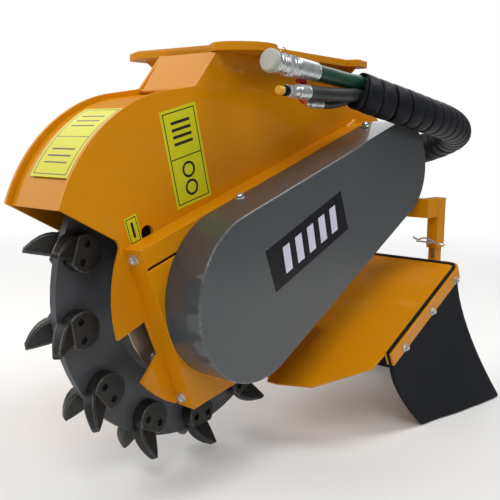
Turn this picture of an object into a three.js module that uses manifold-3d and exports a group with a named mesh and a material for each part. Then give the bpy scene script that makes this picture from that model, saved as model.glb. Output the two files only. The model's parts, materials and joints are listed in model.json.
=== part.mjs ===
// Hydraulic stump grinder attachment for a carrier arm.
// Millimetres, +Z up. +X points to the rear, +Y away from the belt cover.
// The exported origin is on the top face of the carrier plate, above the cutter disc's
// middle plane. The shapes are drawn in the cutter frame, whose origin is the disc's centre.

import * as THREE from "three";
import { mergeVertices } from "three/addons/utils/BufferGeometryUtils.js";
import Module from "manifold-3d";

const wasm = await Module();
wasm.setup();

// ---- driving dimensions -------------------------------------------------------------

const gap = 0.3;                        // clearance between pieces that touch
const tipRadius = 301;                  // half of the cutting diameter
const discRadius = 267;
const discThickness = 13.3;
const stationCount = 13;
const firstStation = 162.5;             // degrees from +X towards +Z
const pocketCircle = 237;
const plateTop = 387;                   // carrier plate's top above the cutter axis
const plateThickness = 13.5;
const plateCentreX = 205;

const nearY = -60;                      // outer face of the side plate on the drive side
const farY = 73;                        // outer face of the other side plate
const sideThickness = 6;
const hoodCentre = [-59, 61];
const hoodRadius = 248;
const hoodLip = 5;                      // how far the side plates stand proud of the hood sheet
const hoodSheet = 3;

const housingY = -95;                   // outer face of the drive housing
const coverY = -166.5;                  // outer face of the belt cover
const drivenCentre = [0, -9];
const driveCentre = [442.4, 178.3];
const coverRadius = 136.8;
const coverNoseRadius = 95.2;
const coverSheet = 3;
const shaftRadius = 25;
const drivenPulley = 104;
const drivePulley = 65;

const deckTop = [563, -20.7];           // rear edge of the chip deck, x and z
const deckTilt = 25.6;                  // degrees
const deckNearY = -228;
const deckFarY = 108;
const deckSheet = 4;
const lipHeight = 28;
const rubber = 6;
const stripSheet = 5;
const stripFace = gap + rubber + gap + stripSheet;   // the strip's outer face beyond the lip

const radians = (degrees) => (degrees * Math.PI) / 180;

// ---- finishes -----------------------------------------------------------------------

const finish = (color, roughness, metalness) =>
  new THREE.MeshStandardMaterial({ color, roughness, metalness });
const orangePaint = finish(0xd98300, 0.35, 0.1);
const greyPaint = finish(0x5a5e62, 0.4, 0.2);
const discSteel = finish(0x50545c, 0.5, 0.6);
const forgedSteel = finish(0x1f1f1e, 0.6, 0.5);
const machinedSteel = finish(0x9a9c9e, 0.3, 0.9);
const castIron = finish(0x3c3e40, 0.7, 0.5);
const beltRubber = finish(0x18181a, 0.9, 0);
const skirtRubber = finish(0x262a30, 0.85, 0);
const zincPlate = finish(0xc4c6c4, 0.3, 0.9);
const hoseRubber = finish(0x1c1f20, 0.7, 0);
const wrapPlastic = finish(0x3a3e48, 0.5, 0);
const capPlastic = finish(0xc8c6b4, 0.5, 0);

// ---- helpers ------------------------------------------------------------------------

const machine = new THREE.Group();
machine.position.set(-plateCentreX, 0, -plateTop);

function add(name, geometry, material, parent = machine) {
  const mesh = new THREE.Mesh(geometry, material);
  mesh.name = name;
  parent.add(mesh);
  return mesh;
}

function merged(geometry) {
  const bare = geometry.clone();
  bare.deleteAttribute("normal");
  bare.deleteAttribute("uv");
  return mergeVertices(bare, 1e-4);
}

// A closed geometry with its faces pointing out.
function outward(geometry) {
  const shape = merged(geometry);
  const position = shape.getAttribute("position");
  const index = shape.getIndex().array;
  const [a, b, c] = [new THREE.Vector3(), new THREE.Vector3(), new THREE.Vector3()];
  let volume = 0;
  const kept = [];
  for (let i = 0; i < index.length; i += 3) {
    a.fromBufferAttribute(position, index[i]);
    b.fromBufferAttribute(position, index[i + 1]);
    c.fromBufferAttribute(position, index[i + 2]);
    volume += a.dot(b.cross(c));
    const flat = index[i] === index[i + 1] || index[i + 1] === index[i + 2]
      || index[i] === index[i + 2];
    if (!flat) kept.push(index[i], index[i + 1], index[i + 2]);
  }
  if (volume < 0) kept.reverse();
  shape.setIndex(kept);
  return shape;
}

function solid(geometry) {
  const shape = outward(geometry);
  return new wasm.Manifold(new wasm.Mesh({
    numProp: 3,
    vertProperties: new Float32Array(shape.getAttribute("position").array),
    triVerts: new Uint32Array(shape.getIndex().array),
  }));
}

function geometryOf(manifold) {
  const mesh = manifold.getMesh();
  const geometry = new THREE.BufferGeometry();
  geometry.setAttribute("position", new THREE.BufferAttribute(mesh.vertProperties, 3));
  geometry.setIndex(new THREE.BufferAttribute(mesh.triVerts, 1));
  return geometry;
}

const joined = (first, ...rest) =>
  geometryOf(rest.reduce((sum, piece) => sum.add(solid(piece)), solid(first)));
const cut = (first, ...rest) =>
  geometryOf(rest.reduce((sum, piece) => sum.subtract(solid(piece)), solid(first)));

const shapeOf = (points) => new THREE.Shape(points.map(([x, y]) => new THREE.Vector2(x, y)));

function circlePath([x, z], radius) {
  const path = new THREE.Path();
  path.absarc(x, z, radius, 0, 2 * Math.PI, true);
  return path;
}

// A flat plate whose outline lies in x and z, between two values of y.
function slab(outline, yLow, yHigh, holes = []) {
  const shape = shapeOf(outline);
  shape.holes = holes;
  const options = { depth: yHigh - yLow, bevelEnabled: false, curveSegments: 9 };
  return new THREE.ExtrudeGeometry(shape, options).rotateX(Math.PI / 2).translate(0, yHigh, 0);
}

// A flat plate whose outline lies in x and y, between two values of z.
function sheet(outline, zLow, zHigh, holes = []) {
  const shape = shapeOf(outline);
  shape.holes = holes;
  const options = { depth: zHigh - zLow, bevelEnabled: false, curveSegments: 6 };
  return new THREE.ExtrudeGeometry(shape, options).translate(0, 0, zLow);
}

function block(x0, x1, y0, y1, z0, z1) {
  const box = new THREE.BoxGeometry(x1 - x0, y1 - y0, z1 - z0);
  return box.translate((x0 + x1) / 2, (y0 + y1) / 2, (z0 + z1) / 2);
}

// A turned piece about the y axis; the profile holds radius and y pairs.
function turned(profile, segments = 28) {
  const points = profile.map(([radius, y]) => new THREE.Vector2(radius, y));
  return outward(new THREE.LatheGeometry(points, segments));
}

const ring = (inner, outer, y0, y1, segments) =>
  turned([[inner, y0], [outer, y0], [outer, y1], [inner, y1], [inner, y0]], segments);
const rod = (radius, y0, y1, segments) =>
  turned([[0, y0], [radius, y0], [radius, y1], [0, y1]], segments);

function arc([x, z], radius, from, to, steps) {
  const points = [];
  for (let i = 0; i <= steps; i += 1) {
    const angle = radians(from + ((to - from) * i) / steps);
    points.push([x + radius * Math.cos(angle), z + radius * Math.sin(angle)]);
  }
  return points;
}

// The outline moved inwards by a distance; the points run anticlockwise.
function inset(points, distance) {
  return points.map((point, i) => {
    const before = points[(i + points.length - 1) % points.length];
    const after = points[(i + 1) % points.length];
    const u = new THREE.Vector2(point[0] - before[0], point[1] - before[1]).normalize();
    const v = new THREE.Vector2(after[0] - point[0], after[1] - point[1]).normalize();
    const reach = distance / (1 + u.dot(v));
    return [point[0] - (u.y + v.y) * reach, point[1] + (u.x + v.x) * reach];
  });
}

// A strip of even thickness to the left of an open line.
function thickLine(points, thickness) {
  const side = points.map((point, i) => {
    const before = points[Math.max(i - 1, 0)];
    const after = points[Math.min(i + 1, points.length - 1)];
    const along = new THREE.Vector2(after[0] - before[0], after[1] - before[1]).normalize();
    return [point[0] - along.y * thickness, point[1] + along.x * thickness];
  });
  return [...points, ...side.reverse()];
}

// The outline around two circles and the tangents between them, anticlockwise.
function beltOutline(first, radiusA, second, radiusB, steps = 14) {
  const [dx, dz] = [second[0] - first[0], second[1] - first[1]];
  const slope = (Math.atan2(dz, dx) * 180) / Math.PI;
  const open = (Math.acos((radiusA - radiusB) / Math.hypot(dx, dz)) * 180) / Math.PI;
  return [
    ...arc(first, radiusA, slope + open, slope + 360 - open, steps),
    ...arc(second, radiusB, slope - open, slope + open, steps),
  ];
}

// ---- side plates, hood and carrier plate ----------------------------------------------

const neckFoot = [-36.3, 316];
const neckTop = [12.6, plateTop - plateThickness - gap];
const hoodFront = 161.3;
const hoodCrown = 101.5;
const frameRear = 560;

// The arc and straight run along the hood's top, pulled in from the plate edge by a depth.
const hoodLine = (depth) => [
  ...arc(hoodCentre, hoodRadius - depth, hoodFront, hoodCrown, 12),
  [neckFoot[0] + 0.4 * depth, neckFoot[1] - 1.15 * depth],
];

function sideOutline(notched) {
  const lobes = notched
    ? [
        ...arc([0, 0], 205.5, 158, 196.5, 5),
        [-143.4, -38.2],
        [-118.2, -96.5],
        [-151.9, -133.2],
        ...arc([0, 0], 203, 221.8, 246, 4),
      ]
    : arc([0, 0], 204.5, 158, 246, 10);
  return [
    [-196, 89],
    [-192, 83.5],
    ...lobes,
    [28, -171],
    [58, -126],
    [486, 80],
    [500, 68],
    [frameRear, 68],
    [frameRear, 244],
    [395, neckTop[1]],
    neckTop,
    neckFoot,
    ...arc(hoodCentre, hoodRadius, hoodCrown, hoodFront, 14),
  ];
}

function addFrame() {
  const inspectionHole = circlePath([-138.8, 95.5], 12.2);
  const motorHole = circlePath(driveCentre, 58);
  const shaftHole = circlePath([0, 0], 40);
  add("near_side_plate",
    slab(sideOutline(true), nearY, nearY + sideThickness, [inspectionHole, motorHole, shaftHole]),
    orangePaint);
  add("far_side_plate",
    slab(sideOutline(false), farY - sideThickness, farY, [circlePath([0, 0], 40)]), orangePaint);

  const innerNear = nearY + sideThickness + gap;
  const innerFar = farY - sideThickness - gap;
  add("hood_sheet", slab(thickLine(hoodLine(hoodLip + hoodSheet).reverse(), hoodSheet),
    innerNear, innerFar), orangePaint);
  const neckLine = [[neckFoot[0] + 5.4, neckFoot[1] - 2.5], [neckTop[0] + 1.5, neckTop[1] - 2.4]];
  add("neck_sheet", slab(thickLine(neckLine, hoodSheet), innerNear, innerFar), orangePaint);
  const tailLine = [[540, 257], [402, neckTop[1] - 9]];
  add("tail_sheet", slab(thickLine(tailLine, hoodSheet), innerNear, innerFar), orangePaint);
}

function addCarrierPlate() {
  const outline = [
    [22, 139], [30, -25], [6, -58], [9, -84], [21, -104], [40, -120], [61, -127], [84, -124],
    [106, -110], [128, -93], [349, -87], [354, -110], [402, -100], [402, 150], [362, 190],
    [47, 190],
  ];
  const holes = [[110, -22], [330, -22], [110, 38], [330, 38]].map((at) => circlePath(at, 11));
  const plate = sheet(outline, plateTop - plateThickness, plateTop, holes);
  const under = plateTop - plateThickness + 0.5;
  const gusset = (x, y0, y1, drop) =>
    new THREE.ExtrudeGeometry(shapeOf([[y0, under], [y1, under], [y0, under - drop]]),
      { depth: 6, bevelEnabled: false }).rotateX(Math.PI / 2).rotateZ(Math.PI / 2)
      .translate(x, 0, 0);
  add("carrier_plate", joined(plate,
    gusset(56, farY + gap, 160, 60), gusset(330, farY + gap, 160, 60),
    gusset(380, nearY - gap, -86, 24)), orangePaint);
}

// ---- drive housing, belt cover and belt -------------------------------------------------

const topSlope = Math.tan(radians(17.98));

function addDriveHousing() {
  const corner = [-184, 77];
  const rearTop = [410, corner[1] + topSlope * 594];
  const outline = [
    corner,
    [-75, -189],
    [28, -171],
    [50, -128],
    [474, 96],
    ...arc(driveCentre, 88, -50, 90, 6),
    rearTop,
  ];
  const slot = shapeOf([[-169, 44.5], [-96, 68.2], [-97.6, 73], [-170.6, 49.3]]);
  const front = slab(outline, housingY, nearY - gap, [slot, circlePath([0, 0], 40),
    circlePath(driveCentre, 22)]);
  const hollow = slab(inset(outline, 5), housingY + 5, nearY);
  add("drive_housing", cut(front, hollow), orangePaint);
}

const beltThickness = 8;
const motorShaft = 12;

function addBeltDrive() {
  const outer = beltOutline(drivenCentre, coverRadius, driveCentre, coverNoseRadius, 18);
  const inner = beltOutline(drivenCentre, coverRadius - coverSheet, driveCentre,
    coverNoseRadius - coverSheet, 18);
  add("belt_cover", cut(slab(outer, coverY, housingY - gap),
    slab(inner, coverY + coverSheet, housingY)), greyPaint);

  const [y0, y1] = [-144, -108];
  const beltOuter = beltOutline([0, 0], drivenPulley + beltThickness, driveCentre,
    drivePulley + beltThickness, 12);
  const beltInner = beltOutline([0, 0], drivenPulley + 1.3, driveCentre,
    drivePulley + 1.3, 12);
  const beltHole = new THREE.Path(beltInner.map(([x, z]) => new THREE.Vector2(x, z)));
  add("drive_belt", slab(beltOuter, y0, y1, [beltHole]), beltRubber);

  const wheel = (bore, radius) => ring(bore, radius, y0 - 3, y1 + 3, 28);
  add("driven_pulley", wheel(shaftRadius + gap, drivenPulley - 0.6), castIron);
  const bushing = ring(motorShaft + gap, 30, -104.7, y0 - beltThickness, 16);
  const drive = add("drive_pulley", joined(wheel(motorShaft + gap, drivePulley - 0.6), bushing),
    castIron);
  drive.position.set(driveCentre[0], 0, driveCentre[1]);
}

// ---- motor, shaft and bearings ---------------------------------------------------------

const portY = 30;

function addMotor() {
  const flangeY = housingY + 5 + gap;
  const body = turned([[0, -152], [motorShaft, -152], [motorShaft, flangeY + 2], [50, flangeY + 2],
    [50, 50], [42, 58], [0, 58]], 24);
  const foot = new THREE.BoxGeometry(104, 10, 84).translate(0, flangeY + 5 + 2, 0);
  const ports = new THREE.BoxGeometry(46, 48, 70).translate(38, portY, 0);
  add("hydraulic_motor", joined(body, foot, ports), castIron)
    .position.set(driveCentre[0], 0, driveCentre[1]);
}

function addShaftLine() {
  add("rotor_shaft", rod(shaftRadius, -152, 106, 20), machinedSteel);
  const bore = shaftRadius + gap;
  add("near_bearing", turned([[bore, -89.6], [58, -89.6], [70, -80], [70, nearY - gap],
    [bore, nearY - gap], [bore, -89.6]], 24), castIron);
  add("far_bearing", turned([[bore, farY + gap], [74, farY + gap], [74, farY + 12],
    [52, farY + 28], [bore, farY + 28], [bore, farY + gap]], 24), castIron);
  const face = discThickness / 2 + gap;
  add("disc_hub", turned([[bore, -50], [54, -50], [54, -34], [168, -34], [168, -face],
    [bore, -face], [bore, -50]], 36), machinedSteel);
  add("clamp_ring", turned([[bore, face], [110, face], [110, 24], [54, 24], [54, 60],
    [bore, 60], [bore, face]], 28), machinedSteel);
}

// ---- cutter disc, pockets and teeth ------------------------------------------------------

const boltSpread = 15;
const boltRadius = 5;

const stationAngles = Array.from({ length: stationCount },
  (_, i) => firstStation + (360 / stationCount) * i);

// A group at one station: local +x runs outwards, +z along the direction of travel.
function stationGroup(degrees) {
  const group = new THREE.Group();
  group.rotation.y = -radians(degrees);
  machine.add(group);
  return group;
}

function addDisc() {
  const holes = [circlePath([0, 0], shaftRadius + 0.8)];
  stationAngles.forEach((degrees) => {
    const angle = radians(degrees);
    [-boltSpread, boltSpread].forEach((side) => {
      const x = pocketCircle * Math.cos(angle) - side * Math.sin(angle);
      const z = pocketCircle * Math.sin(angle) + side * Math.cos(angle);
      const hole = new THREE.Path();
      arc([x, z], boltRadius + 1.2, degrees, degrees - 300, 5)
        .forEach(([u, v], i) => (i ? hole.lineTo(u, v) : hole.moveTo(u, v)));
      holes.push(hole);
    });
  });
  const rim = arc([0, 0], discRadius, 0, 360 - 360 / 72, 71);
  add("cutter_disc", slab(rim, -discThickness / 2, discThickness / 2, holes), discSteel);
}

function pocketGeometry() {
  const flat = 45;
  const outline = arc([pocketCircle, 0], 29, flat, 360 - flat, 9);
  const face = discThickness / 2 + gap;
  const bolts = [-boltSpread, boltSpread].map((side) =>
    rod(boltRadius, -face - 5, face + 5, 6).translate(pocketCircle, 0, side));
  return joined(slab(outline, -face - 22, -face), slab(outline, face, face + 22), ...bolts);
}

// A twin claw that straddles the rim: its section lies in radius and y.
function toothGeometry() {
  const arm = discThickness / 2 + 0.6;
  const seat = pocketCircle + 29 * Math.cos(radians(45)) + 0.6;
  const half = [
    [discRadius + 1, arm], [seat, arm], [seat, 25], [268, 27], [284, 30], [tipRadius, 40],
    [tipRadius - 2, 30], [290, 21], [283, 10],
  ];
  const mirror = half.map(([radius, y]) => [radius, -y]).reverse();
  const section = shapeOf([...half, ...mirror]);
  const claw = new THREE.ExtrudeGeometry(section, { depth: 25, bevelEnabled: false });
  return outward(claw.translate(0, 0, -9));
}

function addCutter() {
  addDisc();
  const pocket = pocketGeometry();
  const tooth = toothGeometry();
  stationAngles.forEach((degrees, i) => {
    const group = stationGroup(degrees);
    const number = String(i + 1).padStart(2, "0");
    add(`tooth_pocket_${number}`, pocket, forgedSteel, group);
    add(`cutting_tooth_${number}`, tooth, forgedSteel, group);
  });
}

// ---- chip deck, skirt and stay --------------------------------------------------------------

const deckLift = Math.sin(radians(deckTilt));
const deckRun = Math.cos(radians(deckTilt));

// From deck coordinates (along the slope, y, off the sheet) to the cutter frame.
const onDeck = (u, y, w) => new THREE.Vector3(
  deckTop[0] + u * deckRun - w * deckLift, y, deckTop[1] + u * deckLift + w * deckRun);

function addDeck() {
  const deck = new THREE.Group();
  deck.position.set(deckTop[0], 0, deckTop[1]);
  deck.rotation.y = -radians(deckTilt);
  machine.add(deck);

  const [nearEnd, farEnd] = [-301, -330];
  const outline = [
    [0, deckFarY], [farEnd, deckFarY], [farEnd, 52], [-268, 52], [-268, -50], [-442, -50],
    [-442, -73], [-427, -143], [-347, -224], [nearEnd, deckNearY + 1], [nearEnd, deckNearY],
    [-10, deckNearY], [-3, deckNearY + 3], [0, deckNearY + 10],
  ];
  const panel = sheet(outline, -deckSheet, 0);
  const nearLip = block(nearEnd, -10, deckNearY, deckNearY + deckSheet, -lipHeight, -1);
  const rearLip = block(-deckSheet, 0, deckNearY + 10, deckFarY, -lipHeight, -1);
  add("chip_deck", joined(panel, nearLip, rearLip), orangePaint, deck);

  const corner = [-10, deckNearY + 10];
  const band = (radius) => [
    [nearEnd, corner[1] - radius],
    ...arc(corner, radius, 270, 360, 4),
    [corner[0] + radius, deckFarY],
  ];
  const strip = [...band(stripFace + 10), ...band(stripFace + 10 - stripSheet).reverse()];
  add("clamp_strip", sheet(strip, -lipHeight, -1), orangePaint, deck);
}

// The rubber's middle surface: held flat by the strip, then flaring as it hangs.
function addSkirt() {
  const corner = [-10, deckNearY + 10];
  const radius = 10 + gap + rubber / 2;
  const top = [
    [-301, corner[1] - radius], [-205, corner[1] - radius], [-100, corner[1] - radius],
    ...arc(corner, radius, 270, 360, 4),
    [corner[0] + radius, -110], [corner[0] + radius, deckFarY],
  ];
  const foot = [
    [404, -249], [500, -271], [600, -293],
    ...arc([664, -276], 22, 262, 356, 4),
    [692, -110], [690, deckFarY],
  ];
  const footZ = -316;
  const columns = top.map(([u, y], i) => {
    const head = onDeck(u, y, 2);
    const held = onDeck(u, y, -lipHeight - 2);
    const column = [head, held];
    [0.35, 0.7, 1].forEach((t) => {
      const spread = t ** 1.5;
      column.push(new THREE.Vector3(
        held.x + (foot[i][0] - held.x) * spread,
        held.y + (foot[i][1] - held.y) * spread,
        held.z + (footZ - held.z) * t));
    });
    return column;
  });
  add("rubber_skirt", thickSurface(columns, rubber), skirtRubber);
}

// A closed sheet around a grid of middle points.
function thickSurface(columns, thickness) {
  const [m, n] = [columns.length, columns[0].length];
  const positions = [];
  const normalAt = (i, j) => {
    const across = columns[Math.min(i + 1, m - 1)][j].clone().sub(columns[Math.max(i - 1, 0)][j]);
    const down = columns[i][Math.min(j + 1, n - 1)].clone().sub(columns[i][Math.max(j - 1, 0)]);
    return across.cross(down).normalize();
  };
  [1, -1].forEach((side) => columns.forEach((column, i) => column.forEach((point, j) => {
    const place = point.clone().addScaledVector(normalAt(i, j), (side * thickness) / 2);
    positions.push(place.x, place.y, place.z);
  })));
  const at = (i, j, layer) => layer * m * n + i * n + j;
  const index = [];
  const quad = (a, b, c, d) => index.push(a, b, c, a, c, d);
  for (let i = 0; i < m - 1; i += 1) {
    for (let j = 0; j < n - 1; j += 1) {
      quad(at(i, j, 0), at(i + 1, j, 0), at(i + 1, j + 1, 0), at(i, j + 1, 0));
      quad(at(i, j, 1), at(i, j + 1, 1), at(i + 1, j + 1, 1), at(i + 1, j, 1));
    }
    quad(at(i, 0, 0), at(i, 0, 1), at(i + 1, 0, 1), at(i + 1, 0, 0));
    quad(at(i, n - 1, 0), at(i + 1, n - 1, 0), at(i + 1, n - 1, 1), at(i, n - 1, 1));
  }
  for (let j = 0; j < n - 1; j += 1) {
    quad(at(0, j, 0), at(0, j + 1, 0), at(0, j + 1, 1), at(0, j, 1));
    quad(at(m - 1, j, 0), at(m - 1, j, 1), at(m - 1, j + 1, 1), at(m - 1, j + 1, 0));
  }
  const geometry = new THREE.BufferGeometry();
  geometry.setAttribute("position", new THREE.Float32BufferAttribute(positions, 3));
  geometry.setIndex(index);
  return outward(geometry);
}

const stayX = [577, 611];
const stayY = [-180, -156];
const stayTop = 115;
const stayWall = 3;
const armX = [530, 554];
const armHeight = 39;
const sleeveFoot = 8;
const pinZ = 21;
const pinRadius = 5;
const deckRaise = 30;

// The sleeve stands behind the deck's rear lip; its arm runs forwards and then to the side plate.
function addStay() {
  const [x0, x1] = stayX;
  const [y0, y1] = stayY;
  const middleY = (y0 + y1) / 2;
  const armZ = stayTop - armHeight;
  const sleeve = block(x0, x1, y0, y1, sleeveFoot, stayTop);
  const forward = block(armX[0], x0 + 1, y0 + 1, y1 - 1, armZ, stayTop);
  const inward = block(armX[0], armX[1], y1 - 2, nearY - gap, armZ, stayTop);
  const hollow = block(x0 + stayWall, x1 - stayWall, y0 + stayWall, y1 - stayWall, 0,
    stayTop - stayWall);
  const pinHole = new THREE.CylinderGeometry(pinRadius + 0.4, pinRadius + 0.4, 60, 10)
    .rotateZ(Math.PI / 2).translate((x0 + x1) / 2, middleY, pinZ);
  add("stay_bracket", geometryOf(solid(sleeve).add(solid(forward)).add(solid(inward))
    .subtract(solid(hollow)).subtract(solid(pinHole))), orangePaint);

  const fit = stayWall + gap;
  const [footZ, headZ] = [-42, 78];
  const inner = block(x0 + fit, x1 - fit, y0 + fit, y1 - fit, footZ, headZ);
  const slotHalf = pinRadius + 0.5;
  const slot = block(x0 - 1, x1 + 1, middleY - slotHalf, middleY + slotHalf,
    pinZ - deckRaise - pinRadius - 1, headZ + 1);
  // The foot is cut to lie against the clamp strip's sloping face.
  const slope = new THREE.BoxGeometry(60, 60, 120).translate(stripFace + gap - 30, 0, 0)
    .rotateY(-radians(deckTilt)).translate(deckTop[0], middleY, deckTop[1]);
  add("inner_stay", geometryOf(solid(inner).subtract(solid(slot)).subtract(solid(slope))),
    orangePaint);
}

function addPin() {
  const y = (stayY[0] + stayY[1]) / 2;
  const [x0, x1] = [stayX[0] - 18, stayX[1] + 2.5];
  const shank = new THREE.CylinderGeometry(pinRadius, pinRadius, x1 - x0, 10)
    .rotateZ(Math.PI / 2).translate((x0 + x1) / 2, y, pinZ);
  const handle = block(x1 - 1, x1 + 4, y - 9, y + 9, pinZ - 8, pinZ + 24);
  const eye = new THREE.CylinderGeometry(2.4, 2.4, 30, 8).translate(x0 + 7, y, pinZ);
  const pin = solid(shank).add(solid(handle)).subtract(solid(eye));
  add("lock_pin", geometryOf(pin), zincPlate);

  const x = x0 + 7;
  const wire = [
    [x, 30, 0], [x, 12, 0], [x, -12, 0], [x, -30, -1], [x - 5, -37, -2], [x - 11, -31, 0],
    [x - 11, -18, 3], [x - 11, -4, 8.5], [x - 11, 8, 9.5], [x - 11, 20, 5.5], [x - 11, 33, 9],
  ].map(([px, dy, dz]) => new THREE.Vector3(px, y + dy, pinZ + dz));
  add("pin_clip", tube(wire, 1.8, 24, 6), zincPlate);
}

// ---- hoses -----------------------------------------------------------------------------

function tube(points, radius, steps, sides, bore = 0) {
  const path = new THREE.CatmullRomCurve3(points, false, "centripetal");
  const round = (r, turn) => arc([0, 0], r, 0, turn * (360 - 360 / sides), sides - 1);
  const section = shapeOf(round(radius, 1));
  if (bore) {
    section.holes = [new THREE.Path(round(bore, -1).map(([x, y]) => new THREE.Vector2(x, y)))];
  }
  const options = { extrudePath: path, steps, bevelEnabled: false };
  return outward(new THREE.ExtrudeGeometry(section, options));
}

// The bundle's middle line, from the couplers over the cover and back to the motor.
const bundle = [
  [296, -146, 324], [334, -168, 311], [388, -190, 297], [462, -199, 284], [536, -198, 275],
  [606, -188, 265], [670, -165, 253], [716, -122, 238], [732, -74, 222], [716, -28, 207],
  [672, 8, 195], [616, 26, 185], [560, portY, 180], [528, portY, 178.5],
].map((point) => new THREE.Vector3(...point));

// Each hose: its radius, its place in the bundle (sideways and up), and its own first points.
const hoses = {
  pressure_hose: {
    radius: 14, side: 0, up: 14, head: [[162, -145, 347], [208, -145, 343.5], [256, -144, 340]],
  },
  return_hose: {
    radius: 12, side: 11, up: -10, head: [[130, -154, 312], [180, -154, 312], [240, -157, 313]],
  },
  drain_hose: {
    radius: 8, side: -10, up: -16, head: [[204, -131, 297], [232, -131, 297.5], [264, -135, 303]],
  },
};

function bundlePoint(i, side, up) {
  const ahead = bundle[Math.min(i + 1, bundle.length - 1)];
  const along = ahead.clone().sub(bundle[Math.max(i - 1, 0)]).normalize();
  const across = along.clone().cross(new THREE.Vector3(0, 0, 1)).normalize();
  const lift = across.clone().cross(along);
  return bundle[i].clone().addScaledVector(across, side).addScaledVector(lift, up);
}

function addHoses() {
  Object.entries(hoses).forEach(([name, hose]) => {
    const lane = bundle.map((_, i) => bundlePoint(i, hose.side, hose.up));
    const points = [...hose.head.map((point) => new THREE.Vector3(...point)), ...lane];
    add(name, tube(points, hose.radius, 42, 8), hoseRubber);
  });
  add("hose_wrap", tube(bundle.slice(0, -1), 33, 28, 10, 31), wrapPlastic);
}

// A turned fitting whose open end faces the hose, laid along -X with a slight rise.
function fitting(name, profile, [x, y, z], tilt, material = zincPlate) {
  const mesh = add(name, turned(profile, 16), material);
  mesh.position.set(x - 3 * gap, y, z);
  mesh.rotation.z = Math.PI / 2;
  mesh.rotation.y = radians(tilt);
}

function addFittings() {
  const [pressure, back, drain] = Object.values(hoses).map((hose) => hose.head[0]);
  fitting("pressure_coupler", [[0, 0], [17, 0], [17, 58], [14.5, 60], [14.5, 66], [19, 67],
    [19, 88], [15, 92], [15, 104], [0, 104]], pressure, 4.5);
  fitting("coupler_cap", [[0, 104.3], [17.5, 104.3], [19, 107], [19, 122], [17, 126], [0, 126]],
    pressure, 4.5, capPlastic);
  fitting("return_fitting", [[0, 0], [12.5, 0], [12.5, 28], [8, 31], [8, 40], [11, 41], [11, 54],
    [7, 55], [7, 78], [0, 78]], back, 0);
  fitting("drain_fitting", [[0, 0], [9, 0], [8, 34], [6, 36], [6, 46], [0, 46]], drain, 0);
}

// ---- assembly --------------------------------------------------------------------------

addFrame();
addCarrierPlate();
addDriveHousing();
addBeltDrive();
addMotor();
addShaftLine();
addCutter();
addDeck();
addSkirt();
addStay();
addPin();
addHoses();
addFittings();

export default machine;
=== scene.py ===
import json
from math import acos, atan2, cos, hypot, pi, radians, sin

import bmesh
import bpy
from mathutils import Matrix, Vector


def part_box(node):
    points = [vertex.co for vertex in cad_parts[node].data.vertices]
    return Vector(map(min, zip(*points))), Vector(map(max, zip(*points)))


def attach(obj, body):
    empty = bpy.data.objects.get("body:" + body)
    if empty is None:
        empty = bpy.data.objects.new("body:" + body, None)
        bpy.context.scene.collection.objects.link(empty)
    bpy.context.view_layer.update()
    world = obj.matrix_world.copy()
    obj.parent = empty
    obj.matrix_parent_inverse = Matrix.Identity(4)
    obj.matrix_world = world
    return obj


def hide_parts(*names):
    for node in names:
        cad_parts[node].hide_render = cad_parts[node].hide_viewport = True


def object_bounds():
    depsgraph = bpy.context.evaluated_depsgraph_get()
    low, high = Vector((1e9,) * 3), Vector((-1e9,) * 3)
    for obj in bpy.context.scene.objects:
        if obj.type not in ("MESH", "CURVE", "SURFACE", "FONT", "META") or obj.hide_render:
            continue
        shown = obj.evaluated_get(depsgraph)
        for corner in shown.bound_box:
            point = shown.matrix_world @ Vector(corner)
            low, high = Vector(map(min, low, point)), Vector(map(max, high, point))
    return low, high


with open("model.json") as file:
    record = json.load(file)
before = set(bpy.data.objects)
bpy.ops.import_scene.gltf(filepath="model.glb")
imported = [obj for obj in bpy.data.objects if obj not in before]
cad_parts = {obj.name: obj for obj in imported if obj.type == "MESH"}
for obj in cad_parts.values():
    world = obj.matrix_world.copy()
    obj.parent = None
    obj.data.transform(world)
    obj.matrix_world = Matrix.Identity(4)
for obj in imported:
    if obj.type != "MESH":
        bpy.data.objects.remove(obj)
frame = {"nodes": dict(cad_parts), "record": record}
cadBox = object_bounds()
print("frame loaded:", len(frame["nodes"]), "nodes")

scene = bpy.context.scene
record = frame["record"]
bodyOf = {node: body for body, nodes in record["behaviour"]["bodies"].items() for node in nodes}

discLow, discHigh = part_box("cutter_disc")
axle = (discLow + discHigh) / 2          # the cutter disc's centre


def at(x, y, z):                         # millimetres from the disc's centre
    return axle + Vector((x, y, z)) / 1000


# camera

eye = dict(place=(-1.0811, -0.8794, -0.1491), turn=49.98, down=8.66, roll=0.63, lens=53.15)


def makeCamera():
    lens = bpy.data.cameras.new("camera")
    lens.lens = eye["lens"]
    lens.clip_end = 60
    camera = bpy.data.objects.new("camera", lens)
    scene.collection.objects.link(camera)
    turn, down, roll = (radians(eye[key]) for key in ("turn", "down", "roll"))
    ahead = Vector((sin(turn) * cos(down), cos(turn) * cos(down), -sin(down)))
    right = Vector((cos(turn), -sin(turn), 0))
    up = right.cross(ahead)
    across = right * cos(roll) + up * sin(roll)
    above = up * cos(roll) - right * sin(roll)
    turned = Matrix((across, above, -ahead)).transposed().to_4x4()
    camera.matrix_world = Matrix.Translation(eye["place"]) @ turned
    scene.camera = camera


makeCamera()
print("camera made")


# shader maths

def operator(operation, swapped=False):
    def apply(self, other):
        return self.maths(operation, *((other, self) if swapped else (self, other)))
    return apply


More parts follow.
